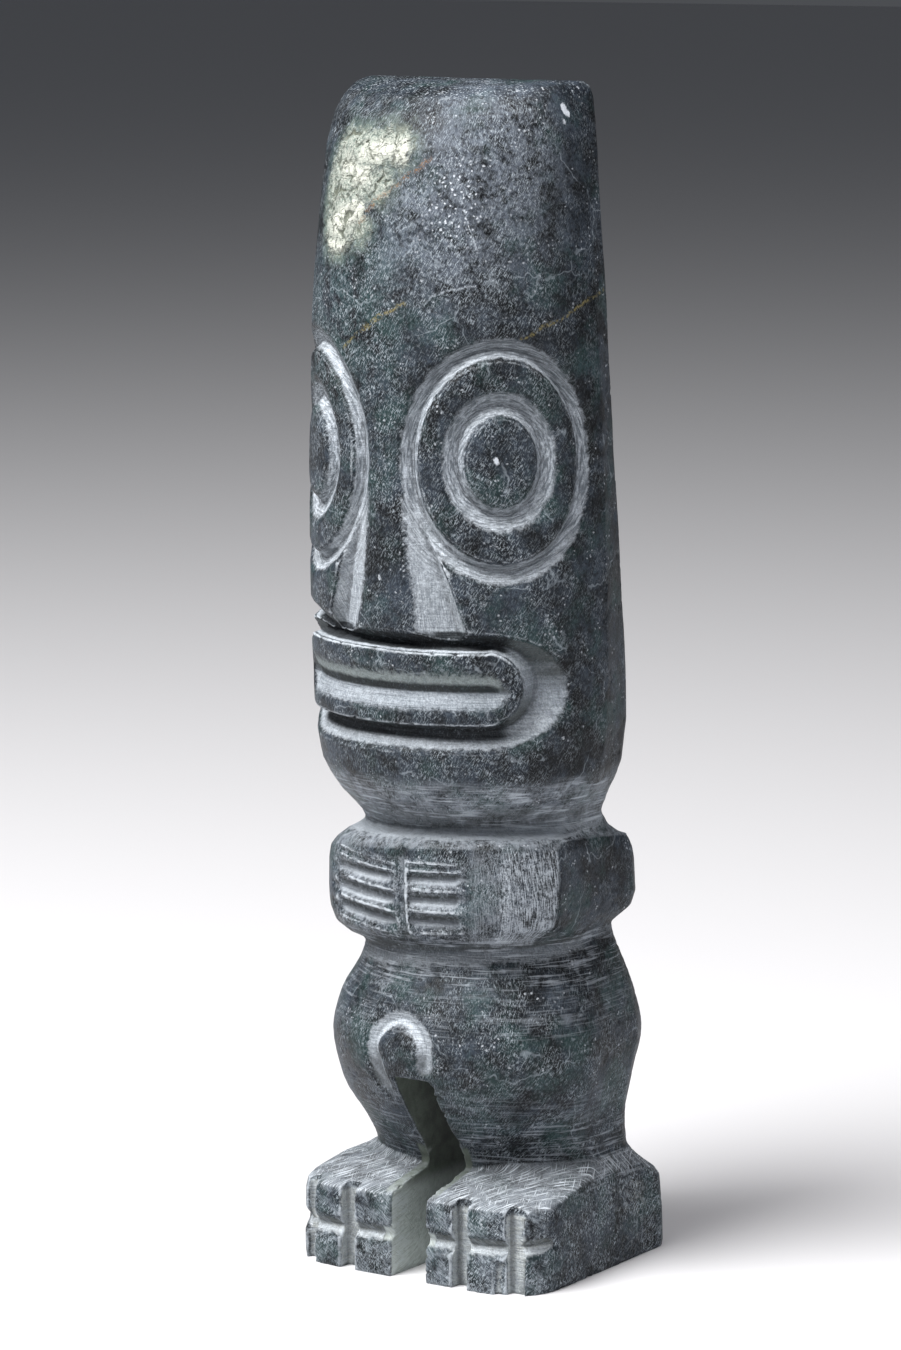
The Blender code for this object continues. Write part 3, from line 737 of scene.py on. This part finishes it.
def polished_skin(bench, read, settings):
    """Clouds, a green cast, a painted sheen on the brow, a mat of light strokes thinned as painted
    shade on the side away from the key light, and white crystals.
    """
    place, skin, z, middle, small = read.place, read.skin, read.z, read.middle, read.small
    clouds = bench.rise(read.broad * 0.45 + middle * 0.55, 0.40, 0.64)
    colour = bench.mix(clouds, settings.stone, settings.cloud)
    green = bench.rise(bench.noise(bench.shifted(place, 5.0, 90.0, 3.0), 6.0, 4.0, 0.6), 0.47, 0.68)
    colour = bench.mix(green * 0.65, colour, settings.teal)
    left_brow = bench.rise(bench.inside(skin, GREEN_BROW), -5.0, 7.0)
    left_brow = left_brow * bench.rise(middle, 0.40, 0.56)
    colour = bench.mix(left_brow * 0.5, colour, settings.teal)
    # Painted sheen: the broad reflection of the key light on the brow, with the strokes thicker under
    # it.
    brow_sheen = bench.rise(bench.inside(bench.wobble(skin, 6.0, 3.0), BROW_SHEEN_BAR), -7.0, 8.0)
    brow_sheen = brow_sheen * bench.rise(small * 0.5 + middle * 0.5, 0.38, 0.58)
    colour = bench.mix(brow_sheen * 0.52, colour, settings.brow_sheen)

    # The strokes lean two ways on the sides, and lie loosely on the back and the crown.
    back = bench.rise(bench.math("ABSOLUTE", read.around), 50.0, 56.0)
    plain = bench.clamp(back + bench.rise(z, 146.3, 147.6))
    leaning = bench.strokes(skin, -28.0, 0.15, 0.7, 0.50, 0.67)
    crossing = bench.strokes(bench.shifted(skin, 77.0, 3.0), 48.0, 0.17, 0.5, 0.53, 0.70)
    loose = bench.rise(bench.noise(bench.stretched(place, 1.0, 1.0, 0.45), 0.26, 2.0, 0.6), 0.52, 0.68)
    thick = bench.rise(bench.noise(bench.shifted(place, 9.0, 2.0, 60.0), 3.2, 3.0, 0.6), 0.36, 0.66)
    mat = bench.math("MAXIMUM", leaning, crossing * 0.8)
    # Painted shade: fewer light strokes on the side turned away from the key light, above the hips.
    side = bench.rise(bench.math("ABSOLUTE", read.around - 36.0), 18.0, 8.0)
    away_side_shade = side * bench.rise(z, 22.0, 40.0)
    # The strokes thicken towards the top of the crown as painted sheen, and on the green left brow as
    # its own colour.
    bright = bench.rise(z, 138.0, 146.0) * 0.2 + left_brow * 0.3
    mat = (mat * (1.0 - plain) + loose * plain) * (0.2 + 0.75 * thick + 0.25 * brow_sheen + bright)
    mat = mat * (1.0 - 0.55 * away_side_shade) * bench.rise(z, 14.0, 10.0, 1.0, 1.5)
    mat = mat * (1.0 - 0.5 * bench.rise(z, 16.0, 13.0) * bench.rise(read.faces_up, 0.3, 0.7))
    colour = bench.mix(mat * 0.72, colour, settings.stroke)

    dark = bench.rise(bench.noise(bench.shifted(place, 3.0, 70.0, 20.0), 0.5, 3.0, 0.7), 0.50, 0.66)
    colour = bench.mix(dark * 0.62, colour, settings.stone)
    dots = bench.rise(bench.cells(bench.wobble(place, 0.35, 0.22), 0.62), 0.30, 0.12)
    swarm = bench.rise(bench.noise(bench.shifted(place, 31.0, 5.0, 8.0), 2.4, 2.0, 0.5), 0.54, 0.66)
    flecks = bench.inside(skin, FLECKED_BROW)
    swarm = bench.math("MAXIMUM", swarm, bench.rise(flecks, -1.5, 2.5))
    dots = dots * swarm * bench.rise(flecks, -2.0, 3.0, 0.5, 0.85)
    colour = bench.mix(dots, colour, settings.crystal)
    web = bench.cells(bench.wobble(place, 6.0, 3.0), 17.0, "DISTANCE_TO_EDGE")
    web = bench.rise(web, 0.008, 0.002) * bench.rise(middle, 0.42, 0.6)
    return bench.mix(web * 0.3, colour, settings.stroke), mat, dots


def cream_crust(bench, read, settings, colour):
    """The crumbly crust on the brow, with its grey-green halo and its cracks."""
    middle, small = read.middle, read.small
    frayed = bench.wobble(read.skin, 2.2, 1.5)
    body = bench.inside(frayed, PATCH_BODY)
    core = bench.inside(frayed, PATCH_CORES)
    swirl = bench.noise(bench.stretched(read.skin, 1.0, 1.25), 2.7, 3.0, 0.55, 1.3)
    cracks = bench.rise(bench.math("ABSOLUTE", swirl - 0.5), 0.020, 0.004) * 0.6
    flaws = bench.rise(bench.stored("crust_crack"), 0.2, 0.8) * bench.rise(middle, 0.40, 0.58)
    cracks = bench.math("MAXIMUM", cracks, flaws)
    halo = bench.rise(body, -1.6, 1.4) * bench.rise(middle, 0.30, 0.62)
    crust = bench.rise(body + (small - 0.5) * 4.0, 0.1, 1.8) * 0.72
    crust = bench.math("MAXIMUM", crust, bench.rise(core + (small - 0.5) * 2.0, 0.0, 1.0))
    crust = crust * (1.0 - cracks * 0.92) * bench.rise(small, 0.30, 0.42, 0.5, 1.0)
    colour = bench.mix(halo * 0.75, colour, settings.patch_edge)
    shaded = bench.mix(bench.rise(read.fine, 0.3, 0.7), settings.patch_edge, settings.patch)
    shaded = bench.mix(bench.rise(core, -0.5, 0.8), shaded, settings.patch)
    colour = bench.mix(crust, colour, shaded)
    colour = bench.mix(cracks * bench.rise(body, -0.6, 1.2) * 0.6, colour, settings.patch_crack)
    return colour, crust, cracks


def thin_veins(bench, read, settings, colour):
    """The rusty, golden and pale veins, and the white chips."""
    fine = read.fine
    drift = bench.wobble(read.skin, 1.6, 0.55)
    broken = bench.rise(read.small, 0.40, 0.56) * bench.rise(fine, 0.36, 0.56)
    rust = bench.rise(bench.from_lines(drift, RUST_VEIN), 0.55, 0.1)
    rust = rust * broken * bench.rise(fine, 0.4, 0.6)
    colour = bench.mix(rust * 0.85, colour, settings.rust)
    gold = bench.rise(bench.from_lines(drift, GOLD_VEIN, LOW_VEIN, GREEN_VEIN), 0.36, 0.05)
    colour = bench.mix(gold * broken * 0.8, colour, settings.gold)
    pale = bench.rise(bench.from_lines(drift, PALE_VEIN, HAIRLINE), 0.22, 0.04)
    colour = bench.mix(pale * broken * 0.65, colour, settings.groove_light)
    chips = bench.inside(bench.wobble(read.skin, 0.8, 0.5), WHITE_CHIPS)
    return bench.mix(bench.rise(chips, 0.0, 0.25) * 0.9, colour, settings.crystal)


def tool_streaks(bench, read):
    """The streaks left by the tools, round the eyes and level below, and the eyes' zone."""
    around, z, small, upright = read.around, read.z, read.small, read.upright
    eye_way = bench.rise(around, 0.5, 0.7, RIGHT_EYE_WAY, LEFT_EYE_WAY)
    ring_x = around - eye_way
    ring_z = z - EYE_HEIGHT
    ring = bench.length(bench.join(ring_x, ring_z))
    swing = bench.math("ARCTAN2", ring_z, bench.math("ABSOLUTE", ring_x))
    circling = bench.noise(bench.join(ring * 4.5, swing * 5.0, eye_way), 1.0, 3.0, 0.65)
    circling = bench.rise(circling, 0.34, 0.66)
    eye_zone = bench.rise(ring, 19.0, 15.0)
    level_zone = bench.rise(z, 84.0, 82.0) * (1.0 - eye_zone)
    grain = 0.35 * bench.rise(read.level, 0.35, 0.66) * level_zone + 0.5 * circling * eye_zone
    grain = grain + 0.35 * upright * bench.rise(z, 82.0, 84.0)
    grain = bench.clamp(grain + 0.25 * upright + 0.25 * read.slant + 0.5 * (small - 0.35))
    streaked = bench.rise(circling * 0.5 + small * 0.35 + read.fine * 0.35, 0.30, 0.72)
    return grain * (1.0 - eye_zone) + streaked * eye_zone, eye_zone


def mouth_shade(bench, read):
    """Painted shade in the deep recesses over, under and between the lips, and in tight creases."""
    depth, faces_up = read.depth, read.faces_up
    below = bench.math("MAXIMUM", bench.rise(depth, 1.0, 1.4), bench.rise(faces_up, -0.2, -0.7))
    above = bench.math("MAXIMUM", bench.rise(depth, 0.8, 1.3), bench.rise(faces_up, 0.1, -0.4))
    deep = (bench.band(read.z, *RECESS_UNDER_LIPS) * below
            + bench.band(read.z, *RECESS_OVER_LIPS) * above)
    deep = deep * bench.band(read.around, *RECESS_WAY)
    between = read.lip_slot * bench.rise(depth, 0.58, 0.88) * bench.rise(faces_up, 0.25, -0.2)
    pinch = bench.rise(read.stand, -0.02, -0.055) * bench.rise(faces_up, 0.35, 0.0) * 0.3
    return bench.math("MAXIMUM", deep + between, pinch)


def carved_grooves(bench, read, settings, colour, grain, eye_zone):
    """Rough and light carved floors, painted shade on walls that face down, painted light on slopes
    that face up, and painted shade in the recesses of the mouth.
    """
    z, faces_up, small, lip_slot = read.z, read.faces_up, read.small, read.lip_slot
    ragged = read.depth + (small - 0.5) * (0.9 - 0.6 * read.hands)
    cut = bench.rise(ragged + lip_slot * 0.22, 0.24, 0.60) * (1.0 - read.foot_slope)
    cut = cut * (1.0 - 0.45 * bench.clamp(read.neck + read.waist)) * bench.rise(z, 146.0, 144.5)
    cut = cut * (1.0 - read.by_slot)
    groove = bench.mix(grain, settings.groove_dark, settings.groove_light)
    # The grooves of the feet have lighter floors: partly their pale dust, partly painted light that
    # lifts the shade of their walls.
    foot_groove = bench.mix(grain, settings.groove_light, settings.foot_groove)
    groove = bench.mix(bench.rise(z, 18.0, 14.0) * 0.7, groove, foot_groove)
    # Painted shade: groove walls that face down take the darker underside colour, as the light from
    # above misses them; in the lip slot they take the slot's own rubbed colour.
    upward = bench.rise(faces_up + (small - 0.5) * 0.3, -0.50, 0.12)
    shadowed = (1.0 - upward) * (0.85 - 0.45 * eye_zone)
    groove = bench.mix(shadowed, groove, bench.mix(lip_slot, settings.groove_underside_shade, settings.slot_lip))
    flank = read.zone(*NOSE_FLANK) * (0.2 + 0.4 * read.upright)
    groove = bench.mix(flank, groove, settings.worn_edge_and_lit_slope)
    # Painted light: groove slopes that face up take the light edge colour, as if lit from above; the
    # arch's zone is lightened too.
    lit = bench.rise(faces_up, 0.05, 0.6) * (0.6 - 0.42 * lip_slot)
    lit = lit * bench.rise(grain + small * 0.6, 0.35, 0.85, 0.35, 1.0)
    groove = bench.mix(bench.clamp(lit + read.zone(*ARCH) * 0.35), groove, settings.worn_edge_and_lit_slope)
    # Painted shade: the deep recesses of the mouth and tight creases take the dark stone colour.
    groove = bench.mix(mouth_shade(bench, read) * 0.9, groove, settings.stone)
    speckle = bench.rise(read.fine * 0.6 + small * 0.6, 0.48, 0.72, 1.0, 0.55)
    return bench.mix(cut * speckle, colour, groove), cut


def slot_walls(bench, read, settings, colour):
    """The smooth walls between the legs, and the rubbed inner sides of the feet."""
    middle = read.middle
    walls = bench.mix(bench.rise(middle, 0.35, 0.65) * 0.35, settings.slot_wall, settings.stone)
    rubbed = read.slant * 0.4 + read.small * 0.4 + middle * 0.5
    scuffed = bench.rise(read.z, 12.2, 9.5) * bench.rise(rubbed, 0.25, 0.75, 0.5, 1.0)
    walls = bench.mix(scuffed * 0.9, walls, settings.foot_wall)
    return bench.mix(read.slot, colour, walls)


def filed_belts(bench, read, settings, colour):
    """Level file lines round the neck, the waist, the hips and the ankles."""
    z = read.z
    ankle = bench.band(z, *ANKLE) * 0.8
    hip = bench.band(z, *LOWER_HIP) * 0.3 + bench.band(z, *UPPER_HIP) * 0.35
    filed = bench.clamp(read.neck + read.waist + ankle + hip) * (1.0 - read.slot)
    filed = filed * bench.rise(read.level + (read.middle - 0.5) * 0.5, 0.50, 0.66)
    filed = filed * (1.0 - 0.75 * read.foot_slope * bench.rise(read.faces_up, 0.35, 0.75))
    return bench.mix(filed * (0.42 + 0.14 * read.neck), colour, settings.groove_light), filed


def rubbed_and_lit_places(bench, read, settings, colour):
    """Light rubbing on the hands and the toes, painted light on ledges and foot slopes that face up,
    and a lighter neck.
    """
    z, small, fine, middle = read.z, read.small, read.fine, read.middle
    rubbed = read.hands * bench.rise(small * 0.6 + fine * 0.5, 0.50, 0.70)
    colour = bench.mix(rubbed * 0.35, colour, settings.groove_light)
    toes = bench.rise(z, 11.4, 10.0) * bench.rise(read.y, -8.5, -10.0) * read.slant
    colour = bench.mix(toes * bench.rise(middle, 0.40, 0.60) * 0.5, colour, settings.stroke)
    # Painted light: ledges and foot slopes that face up are lightened, as if lit from above; the neck
    # is lightened too.
    ledge = bench.rise(read.faces_up, 0.35, 0.8) * bench.band(z, *ARM_LEDGES) * 0.7
    foot_ledge = read.foot_slope * bench.rise(read.faces_up, 0.3, 0.8) * 0.35
    ledge = bench.clamp(ledge + read.neck * 0.4 + foot_ledge)
    ledge = ledge * bench.rise(small * 0.5 + fine * 0.3 + middle * 0.4, 0.46, 0.70)
    return bench.mix(ledge * 0.6, colour, settings.groove_light)


def scraped_arm(bench, read, settings, colour):
    """The upright scrape marks on the arm beside the left hand, with a light ridge."""
    around, small, fine = read.around, read.small, read.fine
    scraped = (bench.rise(around, 11.5, 13.5) * 0.35
               + bench.rise(around + (small - 0.5) * 3.0, 16.6, 18.2) * 0.42)
    marks = read.upright * 0.3 + read.middle * 0.35 + small * 0.35 + fine * 0.6
    scraped = scraped * bench.rise(marks, 0.60, 0.92)
    ridge = bench.math("ABSOLUTE", around - 17.9 + (small - 0.5) * 2.4)
    scraped = bench.clamp(scraped + bench.rise(ridge, 0.7, 0.2) * bench.rise(fine, 0.35, 0.6) * 0.3)
    scraped = scraped * bench.rise(around, 25.2, 24.7) * bench.band(read.z, *ARM_FRONT)
    return bench.mix(scraped * 0.85, colour, settings.groove_light), scraped


def scratched_feet(bench, read, settings, colour):
    """The crossing scratches on the tops of the feet."""
    x, y = read.x, read.y
    scratches = bench.fold("MAXIMUM", [
        bench.strokes(bench.join(x, y), -32.0, 0.16, 4.2, 0.53, 0.62),
        bench.strokes(bench.join(x + 30.0, y), 24.0, 0.13, 3.2, 0.58, 0.68)])
    tops = bench.band(read.z, *FOOT_TOP) * bench.rise(read.faces_up, 0.2, 0.6) * (1.0 - read.slot)
    tops = tops * bench.clamp(scratches + 0.22 * read.middle)
    return bench.mix(tops * 0.95, colour, settings.worn_edge_and_lit_slope), tops


def worn_edges(bench, read, settings, colour):
    """Edges rubbed bright, painted shade in the hollows, and the dark floor of the broken toe."""
    worn = bench.rise(read.stand + (read.fine - 0.5) * 0.05, 0.055, 0.115)
    worn = worn * (1.0 - 0.8 * read.by_slot) * bench.rise(read.z, 9.0, 16.0, 0.6, 1.0)
    worn = worn * bench.rise(read.middle, 0.30, 0.55, 0.35, 1.0)
    colour = bench.mix(worn * 0.7, colour, settings.worn_edge_and_lit_slope)
    # Painted shade: hollows that sink below their surroundings are darkened.
    hollow = bench.rise(read.stand, -0.05, -0.11)
    colour = bench.mix(hollow * 0.25, colour, settings.stone)
    away = bench.length(bench.vector("SUBTRACT", read.place, BROKEN_TOE))
    broken = bench.rise(away, BROKEN_TOE_REACH, BROKEN_TOE_FLOOR)
    return bench.mix(broken * 0.9, colour, settings.stone)


def stone_material(settings):
    """Dark mottled stone: polished skin, light rough grooves, worn edges, veins and crust."""
    bench = Bench("carved dark stone")
    read = Readings(bench)
    grain, eye_zone = tool_streaks(bench, read)
    colour, mat, dots = polished_skin(bench, read, settings)
    colour, crust, cracks = cream_crust(bench, read, settings, colour)
    colour = thin_veins(bench, read, settings, colour)
    colour, cut = carved_grooves(bench, read, settings, colour, grain, eye_zone)
    colour = slot_walls(bench, read, settings, colour)
    colour, filed = filed_belts(bench, read, settings, colour)
    colour = rubbed_and_lit_places(bench, read, settings, colour)
    colour, scraped = scraped_arm(bench, read, settings, colour)
    colour, tops = scratched_feet(bench, read, settings, colour)
    colour = worn_edges(bench, read, settings, colour)

    small, fine, middle = read.small, read.fine, read.middle
    rough_places = bench.clamp(cut + filed * 0.6 + scraped * 0.6 + crust * 0.8 + tops * 0.6)
    rough = 0.40 + 0.12 * middle + 0.10 * mat + 0.30 * rough_places
    relief = small * 0.35 + fine * 0.3 - mat * 0.25 - dots * 0.3 + crust * 0.9 - cracks * crust
    relief = relief + rough_places * (read.level * 1.6 + grain * 0.9) + middle * 0.4
    bumped = bench.node("ShaderNodeBump", None, {
        "Strength": 0.9, "Distance": 0.00016, "Height": relief})
    surface = bench.node("ShaderNodeBsdfPrincipled", None, {
        "Base Color": colour, "Roughness": rough, "Normal": bumped, "Specular IOR Level": 0.16})
    bench.node("ShaderNodeOutputMaterial", None, {"Surface": surface})
    return bench.material


def floor_material(tone):
    """A matt pale board with a trace of mottle."""
    bench = Bench("pale board")
    coordinates = bench.node("ShaderNodeTexCoord", None, None, 3)
    mottle = bench.noise(coordinates, 0.05, 3.0, 0.6)
    colour = bench.mix(mottle * 0.06, tone, tuple(part * 0.9 for part in tone))
    surface = bench.node("ShaderNodeBsdfPrincipled", None, {
        "Base Color": colour, "Roughness": 0.7, "Specular IOR Level": 0.3})
    bench.node("ShaderNodeOutputMaterial", None, {"Surface": surface})
    return bench.material


def view_axes():
    """The camera's right, up and back directions, and the point that it looks at."""
    turn = math.radians(VIEW_TURN)
    pitch = math.radians(VIEW_PITCH)
    back = Vector((math.sin(turn) * math.cos(pitch), -math.cos(turn) * math.cos(pitch),
                   math.sin(pitch)))
    right = Vector((math.cos(turn), math.sin(turn), 0.0))
    target = right * VIEW_SIDE_STEP + Vector((0.0, VIEW_BACK_STEP, VIEW_TARGET_HEIGHT))
    return right, back.cross(right), back, target


def soft_light(name, watts, width, place, target, tone):
    """A square soft light that faces a point."""
    bpy.ops.object.light_add(type="AREA", location=place)
    light = bpy.context.object
    light.name = name
    light.data.energy = watts
    light.data.shape = "SQUARE"
    light.data.size = width
    light.data.color = tone
    light.rotation_euler = (place - target).to_track_quat("Z", "Y").to_euler()


class STONE_OT_carve_figure(bpy.types.Operator):
    """Carve the detailed stone figure over its solid and give it its finish"""

    bl_idname = "stone_figure.carve_figure"
    bl_label = "Carve Figure"

    def execute(self, context):
        settings = context.scene.stone_figure
        piece = carve_piece(settings)
        piece.data.materials.append(stone_material(settings))
        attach(piece, "root")
        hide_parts(SOLID_NAME)
        return {"FINISHED"}


class STONE_OT_set_stage(bpy.types.Operator):
    """Lay the pale floor and set the soft lights and the camera"""

    bl_idname = "stone_figure.set_stage"
    bl_label = "Set Stage"

    def execute(self, context):
        settings = context.scene.stone_stage
        right, up, back, target = view_axes()
        bpy.ops.object.select_all(action="DESELECT")
        bpy.ops.mesh.primitive_plane_add(size=settings.floor_width, location=(0, 0, 0))
        floor = context.object
        floor.name = "pale_floor"
        floor.data.materials.append(floor_material(tuple(settings.floor_tone)))

        for name, width, (to_right, to_back, to_up), tone in LIGHTS:
            place = target + right * to_right + back * to_back + Vector((0.0, 0.0, to_up))
            watts = getattr(settings, f"{name}_power")
            soft_light(f"{name}_light", watts, width, place, target, tone)

        world = bpy.data.worlds.new("plain surroundings")
        world.use_nodes = True
        sky = world.node_tree.nodes["Background"]
        sky.inputs["Color"].default_value = SKY_TONE
        sky.inputs["Strength"].default_value = settings.sky_strength
        context.scene.world = world

        bpy.ops.object.camera_add(location=target + back * VIEW_DISTANCE)
        camera = context.object
        camera.name = "view_of_figure"
        camera.rotation_euler = Matrix((right, up, back)).transposed().to_euler()
        camera.data.lens = settings.lens
        camera.data.sensor_width = 36.0
        camera.data.clip_start = 0.01
        camera.data.clip_end = 50.0
        context.scene.camera = camera
        context.scene.view_settings.view_transform = "Standard"
        return {"FINISHED"}


class STONE_PT_panel(bpy.types.Panel):
    """Lists the steps that make the figure and its stage"""

    bl_idname = "STONE_PT_panel"
    bl_label = "Stone Figure"
    bl_space_type = "VIEW_3D"
    bl_region_type = "UI"
    bl_category = "Stone Figure"

    def draw(self, context):
        layout = self.layout
        for owner, step in (("stone_figure", STONE_OT_carve_figure),
                            ("stone_stage", STONE_OT_set_stage)):
            settings = getattr(context.scene, owner)
            box = layout.box()
            for name in settings.__annotations__:
                box.prop(settings, name)
            box.operator(step.bl_idname)


CLASSES = (FigureSettings, StageSettings, STONE_OT_carve_figure, STONE_OT_set_stage,
           STONE_PT_panel)


def register():
    for kind in CLASSES:
        bpy.utils.register_class(kind)
    bpy.types.Scene.stone_figure = PointerProperty(type=FigureSettings)
    bpy.types.Scene.stone_stage = PointerProperty(type=StageSettings)


def unregister():
    del bpy.types.Scene.stone_stage
    del bpy.types.Scene.stone_figure
    for kind in reversed(CLASSES):
        bpy.utils.unregister_class(kind)


def main():
    register()
    bpy.ops.stone_figure.carve_figure()
    bpy.ops.stone_figure.set_stage()


if __name__ == "__main__":
    main()
